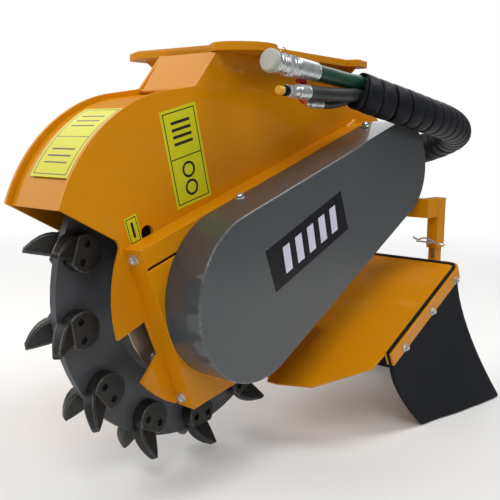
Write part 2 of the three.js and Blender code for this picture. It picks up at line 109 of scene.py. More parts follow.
class Wire:
    def __init__(self, shading, socket):
        self.shading = shading
        self.socket = socket

    def maths(self, operation, first, second):
        return self.shading.node("ShaderNodeMath", {"operation": operation}, {0: first, 1: second})

    __add__ = operator("ADD")
    __radd__ = operator("ADD", True)
    __sub__ = operator("SUBTRACT")
    __rsub__ = operator("SUBTRACT", True)
    __mul__ = operator("MULTIPLY")
    __rmul__ = operator("MULTIPLY", True)
    __gt__ = operator("GREATER_THAN")
    __lt__ = operator("LESS_THAN")

    def __abs__(self):
        return self.maths("ABSOLUTE", self, 0.0)

    def rounded(self):
        return self.maths("ROUND", self, 0.0)

    def squareRoot(self):
        return self.maths("SQRT", self, 0.0)


class Shading:
    def __init__(self, owner):
        owner.use_nodes = True
        self.tree = owner.node_tree

    def node(self, kind, settings=None, values=None, output=0):
        made = self.tree.nodes.new(kind)
        for key, value in (settings or {}).items():
            if key == "stops":
                ramp = made.color_ramp
                while len(ramp.elements) < len(value):
                    ramp.elements.new(1)
                for element, (place, colour) in zip(ramp.elements, value):
                    element.position = place
                    element.color = (*colour, 1)
            else:
                setattr(made, key, value)
        for key, value in (values or {}).items():
            if isinstance(value, Wire):
                self.tree.links.new(value.socket, made.inputs[key])
            else:
                made.inputs[key].default_value = value
        return Wire(self, made.outputs[output])


class Finish(Shading):
    def __init__(self, name, fixed):
        self.material = bpy.data.materials.new(name)
        super().__init__(self.material)
        self.shader = self.tree.nodes["Principled BSDF"]
        for socket, value in fixed.items():
            self.shader.inputs[socket].default_value = value

    def noise(self, size, detail=3.0, rough=0.55, stretch=(1, 1, 1)):
        place = self.node("ShaderNodeTexCoord", output=3)
        scaled = self.node("ShaderNodeVectorMath", {"operation": "MULTIPLY"},
                           {0: place, 1: Vector(stretch) / size})
        return self.node("ShaderNodeTexNoise", None,
                         {"Vector": scaled, "Scale": 1.0, "Detail": detail, "Roughness": rough})

    def fade(self, value, low, high):
        return self.node("ShaderNodeMapRange", {"interpolation_type": "SMOOTHSTEP"},
                         {0: value, 1: low, 2: high, 3: 0.0, 4: 1.0})

    def mix(self, amount, low, high):
        low, high = ((*c, 1) if isinstance(c, tuple) else c for c in (low, high))
        return self.node("ShaderNodeMix", {"data_type": "RGBA"}, {0: amount, 6: low, 7: high}, 2)

    def edge(self):
        return self.node("ShaderNodeAttribute", {"attribute_name": "edge"}, output=2)

    def place(self, socket, value):
        self.tree.links.new(value.socket, self.shader.inputs[socket])

    def bump(self, height, depth):
        values = {"Strength": 1.0, "Distance": depth, "Height": height}
        self.place("Normal", self.node("ShaderNodeBump", None, values))


# finishes

def paintFinish(name, look):
    paint = Finish(name, {"Coat Weight": look["coat"], "Coat Roughness": look["coatRough"],
                          "Specular IOR Level": look["gloss"]})
    cloud = paint.noise(0.21, 3)
    grime = paint.noise(0.045, 6, 0.68)
    speck = paint.noise(0.0028, 2)
    chips = paint.fade(paint.noise(0.007, 4, 0.7), 0.56, 0.66)
    # edge colour: worn paint on most finishes, and a painted highlight along the belt cover's
    # rounded fold
    wearAndHighlight = paint.edge() * (0.35 + 0.65 * chips)
    colour = paint.mix(cloud, look["low"], look["high"])
    colour = paint.mix(look["dust"] * paint.fade(grime, 0.5, 0.78), colour, look["dusty"])
    colour = paint.mix(look["wear"] * wearAndHighlight, colour, look["wearAndHighlightColour"])
    paint.place("Base Color", colour)
    paint.place("Roughness", look["rough"] + 0.12 * (grime - 0.5) + 0.06 * speck + 0.1 * wearAndHighlight)
    paint.bump(0.7 * speck + 0.3 * grime, look["peel"])
    return paint.material


def metalFinish(name, look):
    metal = Finish(name, {"Specular IOR Level": look.get("gloss", 0.5)})
    broad = metal.noise(look["patch"], 4, 0.6)
    fine = metal.noise(look["grain"], 5, 0.7, look.get("stretch", (1, 1, 1)))
    wearAndHighlight = metal.edge() * (0.4 + 0.6 * metal.fade(fine, 0.4, 0.62))
    colour = metal.mix(metal.fade(broad, 0.35, 0.7), look["low"], look["high"])
    # spotted colour: real stains on most metals, and painted bronze glints on the forged steel
    colour = metal.mix(look["stain"] * metal.fade(fine, 0.52, 0.72), colour, look["stainAndGlintColour"])
    colour = metal.mix(look["wear"] * wearAndHighlight, colour, look["wearAndHighlightColour"])
    metal.place("Base Color", colour)
    metal.place("Metallic", look["metal"] + (1 - look["metal"]) * look["wear"] * wearAndHighlight)
    metal.place("Roughness", look["rough"] + 0.25 * (fine - 0.5) - 0.12 * wearAndHighlight)
    metal.bump(fine + 0.6 * broad, look["depth"])
    return metal.material


usualSoft = dict(scuff=0.3, rough=0.4, gloss=0.5, grain=0.004, depth=0.0001)


def softFinish(name, look):
    look = {**usualSoft, **look}
    soft = Finish(name, {"Specular IOR Level": look["gloss"]})
    broad = soft.noise(0.09, 4, 0.6)
    fine = soft.noise(look["grain"], 4, 0.65, look.get("stretch", (1, 1, 1)))
    scuff = soft.fade(soft.noise(0.018, 6, 0.75), 0.55, 0.72)
    colour = soft.mix(broad, look["low"], look["high"])
    colour = soft.mix(look["scuff"] * scuff, colour, look["scuffed"])
    soft.place("Base Color", colour)
    soft.place("Roughness", look["rough"] + 0.15 * (fine - 0.5) + 0.1 * scuff)
    soft.bump(fine, look["depth"])
    return soft.material


orange = paintFinish("orangePaint", dict(
    low=(0.58, 0.215, 0.0005), high=(0.66, 0.258, 0.001), dusty=(0.46, 0.22, 0.02), dust=0.25,
    wearAndHighlightColour=(0.82, 0.38, 0.015), wear=0.45, rough=0.5, coat=0.4, coatRough=0.035, gloss=0.05,
    peel=0.00012))
# its light edge colour, laid on the cover's rounded fold, is a painted highlight
coverGrey = paintFinish("greyPaint", dict(
    low=(0.042, 0.049, 0.054), high=(0.056, 0.064, 0.07), dusty=(0.085, 0.083, 0.08), dust=0.25,
    wearAndHighlightColour=(0.3, 0.32, 0.32), wear=0.3, rough=0.4, coat=0.55, coatRough=0.09, gloss=0.4,
    peel=0.00012))
discPaint = paintFinish("discPaint", dict(
    low=(0.036, 0.042, 0.05), high=(0.068, 0.075, 0.085), dusty=(0.13, 0.125, 0.115), dust=0.4,
    wearAndHighlightColour=(0.26, 0.3, 0.33), wear=0.8, rough=0.46, coat=0.15, coatRough=0.3, gloss=0.5,
    peel=0.0003))
# its bronze spots are painted glints
forged = metalFinish("forgedSteel", dict(
    low=(0.008, 0.008, 0.008), high=(0.019, 0.019, 0.018), stainAndGlintColour=(0.06, 0.042, 0.016),
    stain=0.5, wearAndHighlightColour=(0.16, 0.16, 0.155), wear=0.6, metal=0.3, rough=0.46, patch=0.02,
    grain=0.004, depth=0.0006))
turnedSteel = metalFinish("turnedSteel", dict(
    low=(0.42, 0.41, 0.4), high=(0.56, 0.55, 0.53), stainAndGlintColour=(0.3, 0.26, 0.22), stain=0.4,
    wearAndHighlightColour=(0.75, 0.75, 0.74), wear=0.6, metal=0.9, rough=0.36, patch=0.05, grain=0.006,
    stretch=(0.15, 1, 0.15), depth=0.0001))
casting = metalFinish("castIron", dict(
    low=(0.035, 0.036, 0.038), high=(0.055, 0.056, 0.058), stainAndGlintColour=(0.09, 0.075, 0.06),
    stain=0.3, wearAndHighlightColour=(0.25, 0.25, 0.25), wear=0.5, metal=0.2, rough=0.55, patch=0.04,
    grain=0.0035, depth=0.0006))
zinc = metalFinish("zincPlate", dict(
    low=(0.5, 0.525, 0.53), high=(0.66, 0.69, 0.69), stainAndGlintColour=(0.36, 0.36, 0.34), stain=0.35,
    wearAndHighlightColour=(0.86, 0.88, 0.88), wear=0.5, metal=0.75, rough=0.27, patch=0.012, grain=0.004,
    depth=0.0001))
beltRubber = softFinish("beltRubber", dict(
    low=(0.012, 0.012, 0.013), high=(0.02, 0.02, 0.021), scuffed=(0.06, 0.06, 0.06), scuff=0.4,
    rough=0.7, gloss=0.3, grain=0.002, depth=0.0003))
skirtRubber = softFinish("skirtRubber", dict(
    low=(0.004, 0.0052, 0.008), high=(0.008, 0.01, 0.014), scuffed=(0.02, 0.022, 0.028),
    scuff=0.35, rough=0.62, gloss=0.14, grain=0.004, depth=0.0005))
hoseRubber = softFinish("hoseRubber", dict(
    low=(0.011, 0.013, 0.014), high=(0.022, 0.024, 0.025), scuffed=(0.05, 0.05, 0.05),
    rough=0.42, grain=0.0022, depth=0.0003))
greenRubber = softFinish("greenRubber", dict(
    low=(0.003, 0.03, 0.017), high=(0.006, 0.062, 0.031), scuffed=(0.03, 0.1, 0.06),
    rough=0.36, grain=0.0022, depth=0.0002))
wrapPlastic = softFinish("wrapPlastic", dict(
    low=(0.007, 0.008, 0.011), high=(0.014, 0.016, 0.021), scuffed=(0.03, 0.03, 0.036),
    rough=0.46, gloss=0.12, grain=0.003, depth=0.0002))
capPlastic = softFinish("capPlastic", dict(
    low=(0.36, 0.37, 0.32), high=(0.5, 0.51, 0.45), scuffed=(0.2, 0.2, 0.17), scuff=0.5,
    depth=0.0002))
redPlastic = softFinish("redPlastic", dict(
    low=(0.5, 0.012, 0.012), high=(0.62, 0.02, 0.02), scuffed=(0.6, 0.2, 0.18)))
yellowPlastic = softFinish("yellowPlastic", dict(
    low=(0.62, 0.33, 0.015), high=(0.74, 0.42, 0.025), scuffed=(0.5, 0.3, 0.1)))
blackPaint = softFinish("blackPaint", dict(
    low=(0.002, 0.002, 0.003), high=(0.004, 0.004, 0.006), scuffed=(0.02, 0.02, 0.025),
    scuff=0.25, gloss=0.2, grain=0.003))
print("finishes made")


# mesh helpers

def pieceName(node):
    first, *rest = node.split("_")
    return first + "".join(word.capitalize() for word in rest)


def edgeLayer(bm):
    return bm.loops.layers.float.get("edge") or bm.loops.layers.float.new("edge")


def finishPiece(name, bm, finishes, body, replaced=(), smooth=32, weighted=True):
    mesh = bpy.data.meshes.new(name)
    bm.to_mesh(mesh)
    bm.free()
    for finish in finishes:
        mesh.materials.append(finish)
    for face in mesh.polygons:
        face.use_smooth = True
    mesh.set_sharp_from_angle(angle=radians(smooth))
    piece = bpy.data.objects.new(name, mesh)
    scene.collection.objects.link(piece)
    if weighted:
        piece.modifiers.new("even", "WEIGHTED_NORMAL").keep_sharp = True
    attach(piece, body)
    if replaced:
        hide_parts(*replaced)
    return piece


def thicken(piece, thickness, offset):
    thick = piece.modifiers.new("thick", "SOLIDIFY")
    thick.thickness = thickness / 1000
    thick.offset = offset


def softenEdges(bm, width, segments=2, angle=30, only=None):
    mark = edgeLayer(bm)
    sharp = [edge for edge in bm.edges if edge.is_manifold
             and edge.calc_face_angle() > radians(angle) and (only is None or only(edge))]
    made = bmesh.ops.bevel(bm, geom=sharp, offset=width, segments=segments, profile=0.5,
                           affect="EDGES", clamp_overlap=True)
    for face in made["faces"]:
        for loop in face.loops:
            loop[mark] = 1


forming = dict(weld=0.00002, flat=0.4)   # metres, and degrees between faces that are one


def formedCopy(node, finish, width):
    # the node's own shape with its edges softened
    bm = bmesh.new()
    bm.from_mesh(frame["nodes"][node].data)
    bmesh.ops.remove_doubles(bm, verts=bm.verts, dist=forming["weld"])
    bmesh.ops.dissolve_limit(bm, angle_limit=radians(forming["flat"]), verts=bm.verts,
                             edges=bm.edges)
    softenEdges(bm, width / 1000)
    bmesh.ops.triangulate(bm, faces=[face for face in bm.faces if len(face.verts) > 4])
    return finishPiece(pieceName(node), bm, [finish], bodyOf[node], [node])


def axisTurn(along):                     # turns +Z to a direction
    return Vector((0, 0, 1)).rotation_difference(Vector(along)).to_matrix()


def addTurned(bm, place, along, profile, sides=32, spin=0.0, material=0):
    # a closed turned solid; the profile is pairs of height and radius in millimetres
    turn = axisTurn(along)
    rings = []
    for height, radius in profile:
        if radius == 0:
            ring = [bm.verts.new(place + turn @ Vector((0, 0, height / 1000)))]
        else:
            ring = [bm.verts.new(place + turn @ Vector((
                radius / 1000 * cos(spin + 2 * pi * i / sides),
                radius / 1000 * sin(spin + 2 * pi * i / sides), height / 1000)))
                for i in range(sides)]
        rings.append(ring)
    for below, above in zip(rings, rings[1:]):
        for i in range(sides):
            j = (i + 1) % sides
            corners = [below[i % len(below)], below[j % len(below)],
                       above[j % len(above)], above[i % len(above)]]
            face = bm.faces.new(list(dict.fromkeys(corners)))
            face.material_index = material


boltSize = dict(head=6.4, height=5.2, washer=8.6, washerHeight=1.5, stud=3.9, studOut=1.8, sunk=0.3,
                headTrim=0.9, studTrim=0.6)


def addBolt(bm, place, along, scale=1.0, spin=0.3):
    size = {key: value * scale for key, value in boltSize.items()}
    washer, height, head, stud = (size[key] for key in ("washer", "washerHeight", "head", "stud"))
    top = size["height"] + height
    end = top + size["studOut"]
    addTurned(bm, place, along, [(-boltSize["sunk"], 0), (-boltSize["sunk"], washer),
                                 (height * 0.7, washer), (height, washer - 0.5 * scale),
                                 (height, 0)], 24)
    addTurned(bm, place, along, [(height, 0), (height, head), (top - size["headTrim"], head),
                                 (top, head * 0.86), (top, 0)], 6, spin)
    addTurned(bm, place, along, [(top - 0.5, 0), (top - 0.5, stud), (end - size["studTrim"], stud),
                                 (end, stud * 0.8), (end, 0)], 16)


def boltGroup(name, body, places, scale=1.0):
    bm = bmesh.new()
    for number, (place, along) in enumerate(places):
        addBolt(bm, place, along, scale, 0.3 + 0.37 * number)
    finishPiece(name, bm, [zinc], body)


# hoses

portY = 30
bundle = [
    (296, -146, 324), (334, -168, 311), (388, -190, 297), (462, -199, 284), (536, -198, 275),
    (606, -188, 265), (670, -165, 253), (716, -122, 238), (732, -74, 222), (716, -28, 207),
    (672, 8, 195), (616, 26, 185), (560, portY, 180), (528, portY, 178.5),
]
hoses = dict(
    pressure_hose=dict(radius=14, side=0, up=14, length=0.91,
                       head=[(162, -145, 347), (208, -145, 343.5), (256, -144, 340)]),
    return_hose=dict(radius=12, side=11, up=-10, length=0.98,
                     head=[(130, -154, 312), (180, -154, 312), (240, -157, 313)]),
    drain_hose=dict(radius=8, side=-10, up=-16, length=0.84,
                    head=[(204, -131, 297), (232, -131, 297.5), (264, -135, 303)]),
)


def lanePoint(i, side, up):
    here, ahead = Vector(bundle[i]), Vector(bundle[min(i + 1, len(bundle) - 1)])
    along = (ahead - Vector(bundle[max(i - 1, 0)])).normalized()
    across = along.cross(Vector((0, 0, 1))).normalized()
    return at(*(here + across * side + across.cross(along) * up))


def routeCurve(name, points, radius, finish, body, node=None):
    curve = bpy.data.curves.new(name, "CURVE")
    curve.dimensions = "3D"
    curve.bevel_depth = radius / 1000
    curve.bevel_resolution = 6
    curve.resolution_u = 10
    curve.use_fill_caps = True
    spline = curve.splines.new("BEZIER")
    spline.bezier_points.add(len(points) - 1)
    for knot, place in zip(spline.bezier_points, points):
        knot.co = place
        knot.handle_left_type = knot.handle_right_type = "AUTO"
    curve.materials.append(finish)
    piece = bpy.data.objects.new(name, curve)
    scene.collection.objects.link(piece)
    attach(piece, body)
    if node:
        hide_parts(node)
    return piece


def hosePoints(node):
    hose = hoses[node]
    lane = [lanePoint(i, hose["side"], hose["up"]) for i in range(len(bundle))]
    return [at(*point) for point in hose["head"]] + lane


def makeHose(node):
    piece = routeCurve(pieceName(node), hosePoints(node), hoses[node]["radius"], hoseRubber,
                       "root", node)
    print(node, "length", round(piece.data.splines[0].calc_length(resolution=64), 4))
    return piece


hosePieces = {node: makeHose(node) for node in hoses}

wrap = dict(radius=33, thick=2.2, pitch=31, band=28, turnSteps=26, bandSteps=5, start=0.7,
            settle=0.9, crown=0.7, wander=(0.8, 2.1), lobes=3, lobeDepth=0.5, lobeStart=0.6,
            lineSteps=60)


def bundleSpots():
    # distances, points and axes along the bundle's middle line
    line = [at(*point) for point in bundle[:-1]]
    dense = []
    for i in range(len(line) - 1):
        a, b, c, d = (line[min(max(i + k, 0), len(line) - 1)] for k in (-1, 0, 1, 2))
        for k in range(wrap["lineSteps"]):
            t = k / wrap["lineSteps"]
            dense.append(0.5 * ((2 * b) + (c - a) * t + (2 * a - 5 * b + 4 * c - d) * t ** 2
                                + (3 * b - a - 3 * c + d) * t ** 3))
    dense.append(line[-1])
    spots, travelled, across = [], 0.0, Vector((0, 0, 1))
    for here, ahead in zip(dense, dense[1:]):
        along = (ahead - here).normalized()
        across = (across - along * across.dot(along)).normalized()
        spots.append((travelled, here, along, across.copy()))
        travelled += (ahead - here).length
    return spots, travelled


def makeWrap():
    spots, total = bundleSpots()

    def on(distance, angle, radius):
        distance = min(max(distance, 0), total - 1e-4)
        low, high = 0, len(spots) - 1
        while high - low > 1:
            middle = (low + high) // 2
            low, high = (middle, high) if spots[middle][0] <= distance else (low, middle)
        start, here, along, across = spots[low]
        around = across * cos(angle) + along.cross(across) * sin(angle)
        return here + along * (distance - start) + around * radius / 1000

    bm = bmesh.new()
    turns = (total * 1000 + wrap["band"]) / wrap["pitch"]
    count = int(turns * wrap["turnSteps"])
    wander, wanderRate = wrap["wander"]
    rows = []
    for i in range(count + 1):
        turn = i / wrap["turnSteps"]
        start = turn * wrap["pitch"] - wrap["band"]
        row = []
        for k in range(wrap["bandSteps"] + 1):
            share = k / wrap["bandSteps"]
            place = start + share * wrap["band"] + wander * sin(turn * wanderRate)
            crown = wrap["crown"] * (1 - (2 * share - 1) ** 2)
            lobe = 1 + sin(2 * pi * turn * wrap["lobes"] + wrap["lobeStart"])
            radius = wrap["radius"] - wrap["settle"] + crown - wrap["lobeDepth"] * lobe
            row.append(bm.verts.new(on(place / 1000, 2 * pi * turn + wrap["start"], radius)))
        rows.append(row)
    for near, far in zip(rows, rows[1:]):
        for k in range(wrap["bandSteps"]):
            corners = [near[k], near[k + 1], far[k + 1], far[k]]
            if min((a.co - b.co).length for a, b in zip(corners, corners[1:])) > 1e-6:
                bm.faces.new(corners)
    bm.normal_update()
    piece = finishPiece("hoseWrap", bm, [wrapPlastic], "root", ["hose_wrap"], 50,
                        False)
    thicken(piece, wrap["thick"], -1)
    return piece


wrapPiece = makeWrap()

fitting = dict(seat=0.9, spin=0.26, trim=0.8, rimArea=4e-6, couplerTilt=4.5)


def fittingPiece(name, node, sections, tilt, finishes, extra=()):
    # sections run away from the hose end: start, end, first radius, last radius, sides, finish
    hose = hoses[node]["head"][0]
    along = Vector((-cos(radians(tilt)), 0, sin(radians(tilt))))
    bm = bmesh.new()
    for start, end, first, last, sides, finish in sections:
        trim = min(fitting["trim"], (end - start) / 4)
        profile = [(start, 0), (start, first - trim), (start + trim, first),
                   (end - trim, last), (end, last - trim), (end, 0)]
        addTurned(bm, at(hose[0] - fitting["seat"], hose[1], hose[2]), along, profile, sides,
                  fitting["spin"], finish)
    mark = edgeLayer(bm)
    for face in bm.faces:
        if face.calc_area() < fitting["rimArea"]:
            for loop in face.loops:
                loop[mark] = 1
    return finishPiece(name, bm, finishes, "root", extra)


pressureCoupler = fittingPiece(
    "pressureCoupler", "pressure_hose",
    [(0, 57, 16.6, 16.6, 40, 0), (2, 4, 17, 17, 40, 0), (55, 58.5, 17, 16.4, 40, 0),
     (57, 68, 14.5, 14.5, 32, 0), (61, 63, 16.6, 16.6, 32, 0), (65, 67, 17.4, 17.4, 32, 0),
     (67, 84, 18.9, 18.9, 6, 0), (72.5, 74, 17.6, 17.6, 32, 0), (84, 88, 17.4, 15.5, 32, 0),
     (88, 104, 15, 15, 32, 0), (91, 93, 16.4, 16.4, 32, 0), (96, 98, 16.4, 16.4, 32, 0)],
    fitting["couplerTilt"], [zinc], ["pressure_coupler"])
couplerCap = fittingPiece(
    "couplerCap", "pressure_hose",
    [(104.3, 107, 16, 17, 40, 1), (107, 113, 18.4, 18.4, 6, 1), (112.5, 116, 17.2, 17.2, 40, 1),
     (116, 122, 18.6, 18.6, 40, 0), (122, 126, 17.8, 16, 40, 0), (125, 126.2, 12.5, 12, 32, 0)],
    fitting["couplerTilt"], [capPlastic, zinc], ["coupler_cap"])
returnFitting = fittingPiece(
    "returnFitting", "return_hose",
    [(0, 28, 12.3, 12.3, 36, 0), (2, 3.6, 12.5, 12.5, 36, 0), (24, 26, 12.5, 12.5, 36, 0),
     (28, 33, 9.5, 8, 24, 0), (33, 41, 8, 8, 24, 0), (36, 38, 9.4, 9.4, 24, 0),
     (41, 54, 10.9, 10.9, 6, 0), (54, 66, 7, 7, 24, 1), (58, 60, 8.6, 8.6, 24, 1),
     (66, 78, 7, 6.6, 24, 2), (68, 75, 6.99, 6.99, 8, 2)],
    0, [zinc, blackPaint, yellowPlastic], ["return_fitting"])
drainFitting = fittingPiece(
    "drainFitting", "drain_hose",
    [(0, 34, 8.9, 8, 32, 0), (3, 5, 9, 9, 32, 0), (30, 32, 8.4, 8.4, 32, 0),
     (34, 46, 6, 6, 24, 0), (37, 41, 7.4, 7.4, 6, 0)],
    0, [zinc], ["drain_fitting"])

# the pressure hose's green outer cover, up to where the guard starts
sleeveSize = dict(radius=14.35, start=0.02)
firstBend, *nextBends = hosePoints("pressure_hose")[:4]
sleeve = routeCurve("pressureSleeve",
                    [firstBend.lerp(nextBends[0], sleeveSize["start"]), *nextBends],
                    sleeveSize["radius"], greenRubber, "root")

redCaps = dict(along=(-0.9, 0, 0.43), caps=(((136, -136, 331), 6.5), ((139, -136, 303), 5.5)))


def makeRedCaps():
    bm = bmesh.new()
    for place, radius in redCaps["caps"]:
        addTurned(bm, at(*place), redCaps["along"], [(-9, 0), (-9, radius - 1), (-8, radius),
                                                     (6, radius), (8, radius - 2), (8, 0)], 20)
    return finishPiece("dustCaps", bm, [redPlastic], "root")


dustCaps = makeRedCaps()

onHose = {"pressure_hose": [pressureCoupler, couplerCap, sleeve, wrapPiece],
          "return_hose": [returnFitting, dustCaps], "drain_hose": [drainFitting]}
for node, pieces in onHose.items():
    hose = hoses[node]
    tuple(hosePoints(node)[-1])
    2 * hose["radius"] / 1000
print("hoses laid")


# frame plates

copies = (
    (orange, dict(near_side_plate=0.9, far_side_plate=0.9, hood_sheet=0.6, neck_sheet=0.6,
                  tail_sheet=0.6, carrier_plate=1.6, drive_housing=1.1, chip_deck=1.0,
                  clamp_strip=0.8, stay_bracket=1.4, inner_stay=1.2)),
    (casting, dict(driven_pulley=1.2, drive_pulley=1.2, hydraulic_motor=2.0, near_bearing=1.5,
                   far_bearing=1.5)),
    (turnedSteel, dict(rotor_shaft=1.2, disc_hub=1.2, clamp_ring=1.5)),
    (beltRubber, dict(drive_belt=1.5)), (discPaint, dict(cutter_disc=1.5)),
    (zinc, dict(lock_pin=0.9)),
)
for finish, widths in copies:
    for node, width in widths.items():
        formedCopy(node, finish, width)
print("plates formed")


# belt cover

cover = dict(driven=(0, -9), drive=(442.4, 178.3), radius=136.8, noseRadius=95.2, near=-166.5,
             far=-95.3, sheet=3, fold=3.2, steps=44)


def beltOutline(first, firstRadius, second, secondRadius, steps):
    slope = atan2(second[1] - first[1], second[0] - first[0])
    opening = acos((firstRadius - secondRadius) / hypot(second[0] - first[0],
                                                        second[1] - first[1]))
    sweeps = ((first, firstRadius, slope + opening, slope + 2 * pi - opening),
              (second, secondRadius, slope - opening, slope + opening))
    points = []
    for (x, z), radius, start, end in sweeps:
        for i in range(steps + 1):
            angle = start + (end - start) * i / steps
            points.append((x + radius * cos(angle), z + radius * sin(angle)))
    return points


def makeCover():
    bm = bmesh.new()
    mark = edgeLayer(bm)
    rows = []
    fold, quarter = cover["fold"], 4
    levels = [(0, cover["far"])] + [
        (fold * (1 - cos(radians(90 * k / quarter))),
         cover["near"] + fold * (1 - sin(radians(90 * k / quarter)))) for k in range(quarter + 1)]
    for inwards, y in levels:
        outline = beltOutline(cover["driven"], cover["radius"] - inwards, cover["drive"],
                              cover["noseRadius"] - inwards, cover["steps"])
        rows.append([bm.verts.new(at(x, y, z)) for x, z in outline])
    count = len(rows[0])
    for level, (back, front) in enumerate(zip(rows, rows[1:])):
        for i in range(count):
            j = (i + 1) % count
            face = bm.faces.new([back[i], front[i], front[j], back[j]])
            for loop in face.loops:
                # the rounded fold's faces take the light edge colour: a painted highlight along the
                # fold
                loop[mark] = float(level > 0)
    bm.faces.new(rows[-1])
    bmesh.ops.recalc_face_normals(bm, faces=bm.faces)
    piece = finishPiece("beltCover", bm, [coverGrey], "root", ["belt_cover"], 40)
    thicken(piece, cover["sheet"], -1)
    piece.modifiers.move(1, 0)


makeCover()
print("cover made")


# cutter stations

stations = dict(count=13, first=162.5, circle=237, puck=29, thick=22, face=6.95, flat=45,
                boltAt=14, boltIn=3, boltHole=5.6, boltDepth=9, softened=2.4, pull=4, steps=40)


def stationMatrix(number):
    # local x runs outwards, y along the axle, z along the direction of travel
    angle = radians(stations["first"] + 360 / stations["count"] * number)
    outwards = Vector((cos(angle), 0, sin(angle)))
    travel = Vector((-sin(angle), 0, cos(angle)))
    turned = Matrix((outwards, Vector((0, 1, 0)), travel)).transposed().to_4x4()
    return Matrix.Translation(axle) @ turned


def cutHoles(mesh, holes):
    # takes turned holes out of a closed mesh
    solid = bpy.data.objects.new("solid", mesh)
    scene.collection.objects.link(solid)
    bm = bmesh.new()
    for place, along, profile in holes:
        addTurned(bm, place, along, profile, 20)
    bmesh.ops.recalc_face_normals(bm, faces=bm.faces)
    tool = bpy.data.meshes.new("tool")
    bm.to_mesh(tool)
    bm.free()
    cutter = bpy.data.objects.new("cutter", tool)
    scene.collection.objects.link(cutter)
    modifier = solid.modifiers.new("cut", "BOOLEAN")
    modifier.object = cutter
    modifier.solver = "EXACT"
    bpy.context.view_layer.update()
    evaluated = solid.evaluated_get(bpy.context.evaluated_depsgraph_get())
    made = bpy.data.meshes.new_from_object(evaluated)
    bpy.data.objects.remove(solid)
    bpy.data.objects.remove(cutter)
    return made


def puckMesh():
    s = stations
    half = radians(s["flat"])
    turns = [half + (2 * pi - 2 * half) * i / s["steps"] for i in range(s["steps"] + 1)]
    outline = [(s["circle"] + s["puck"] * cos(turn), s["puck"] * sin(turn)) for turn in turns]
    middle = s["circle"] - s["pull"]
    bm = bmesh.new()
    mark = edgeLayer(bm)
    levels = [(0, s["face"]), (0, s["face"] + s["thick"] - s["softened"]),
              (0.3, s["face"] + s["thick"] - s["softened"] * 0.4),
              (1, s["face"] + s["thick"])]
    rows = []
    for inwards, y in levels:
        shrink = 1 - inwards * s["softened"] / s["puck"]
        rows.append([bm.verts.new(Vector((middle + (x - middle) * shrink, -y, z * shrink)) / 1000)
                     for x, z in outline])
    for level, (back, front) in enumerate(zip(rows, rows[1:])):
        for i in range(len(outline)):
            j = (i + 1) % len(outline)
            face = bm.faces.new([back[i], back[j], front[j], front[i]])
            for loop in face.loops:
                loop[mark] = float(level > 0)
    bm.faces.new(rows[0])
    bm.faces.new(rows[-1])
    bmesh.ops.recalc_face_normals(bm, faces=bm.faces)
    mesh = bpy.data.meshes.new("puck")
    bm.to_mesh(mesh)
    bm.free()
    depth, outer = s["boltDepth"], s["face"] + s["thick"]
    holes = [(Vector((s["circle"] + s["boltIn"], -outer, side)) / 1000, (0, -1, 0),
              [(-depth, 0), (-depth, s["boltHole"]), (-0.8, s["boltHole"]),
               (1.5, s["boltHole"] + 2.3), (1.5, 0)]) for side in (-s["boltAt"], s["boltAt"])]
    return cutHoles(mesh, holes)


def pocketMesh():
    # both halves of one pocket, with their socket screws
    half = puckMesh()
    bm = bmesh.new()
    bm.from_mesh(half)
    s = stations
    floor = s["face"] + s["thick"] - s["boltDepth"]
    for side in (-s["boltAt"], s["boltAt"]):
        place = Vector((s["circle"] + s["boltIn"], -floor, side)) / 1000
        addTurned(bm, place, (0, -1, 0), [(-0.5, 0), (-0.5, 4.8), (4.4, 4.8), (5, 4.2),
                                          (5, 2.6), (2.5, 2.4), (2.5, 0)], 12)
    mirrored = bmesh.ops.duplicate(bm, geom=bm.verts[:] + bm.edges[:] + bm.faces[:])["geom"]
    bmesh.ops.scale(bm, vec=(1, -1, 1), verts=[part for part in mirrored
                                               if isinstance(part, bmesh.types.BMVert)])
    bmesh.ops.recalc_face_normals(bm, faces=bm.faces)
    return bm


claw = dict(root=253, tip=297, rootY=13, tipY=38.5, bow=1.1, front=(14, 18.5), soft=0.0012,
            frontTrim=2.6, backTrim=3.4, width=(9.5, 10.2, 10.6, 10.2, 9.4, 8.2, 6.4),
            back=(-21, -21.5, -20.5, -17, -11, -2, 10.5))


def addClaw(bm, side):
    # a beak shaped claw: its leading face is straight, and its back curves in to the tip
    rings = []
    outwards = Vector((claw["tip"] - claw["root"], side * (claw["tipY"] - claw["rootY"]), 0))
    across = Vector((-outwards.y, outwards.x, 0)).normalized()
    rootFront, tipFront = claw["front"]
    for k, (width, back) in enumerate(zip(claw["width"], claw["back"])):
        share = k / (len(claw["width"]) - 1)
        middle = Vector((claw["root"] + (claw["tip"] - claw["root"]) * share,
                         side * (claw["rootY"] + (claw["tipY"] - claw["rootY"])
                                 * share ** claw["bow"]), 0))
        front = rootFront + (tipFront - rootFront) * share
        low, high = back + claw["backTrim"], front - claw["frontTrim"]
        section = [(-0.82, front), (0.82, front), (1, high), (1, low),
                   (0.72, back), (-0.72, back), (-1, low), (-1, high)]
        rings.append([bm.verts.new((middle + across * width * x + Vector((0, 0, t))) / 1000)
                      for x, t in section])
    size = len(rings[0])
    for below, above in zip(rings, rings[1:]):
        for i in range(size):
            j = (i + 1) % size
            bm.faces.new([below[i], below[j], above[j], above[i]])
    bm.faces.new(rings[0])
    bm.faces.new(rings[-1])


def clawMesh():
    bm = bmesh.new()
    addClaw(bm, -1)
    addClaw(bm, 1)
    bmesh.ops.recalc_face_normals(bm, faces=bm.faces)
    softenEdges(bm, claw["soft"], 2, 24)
    return bm


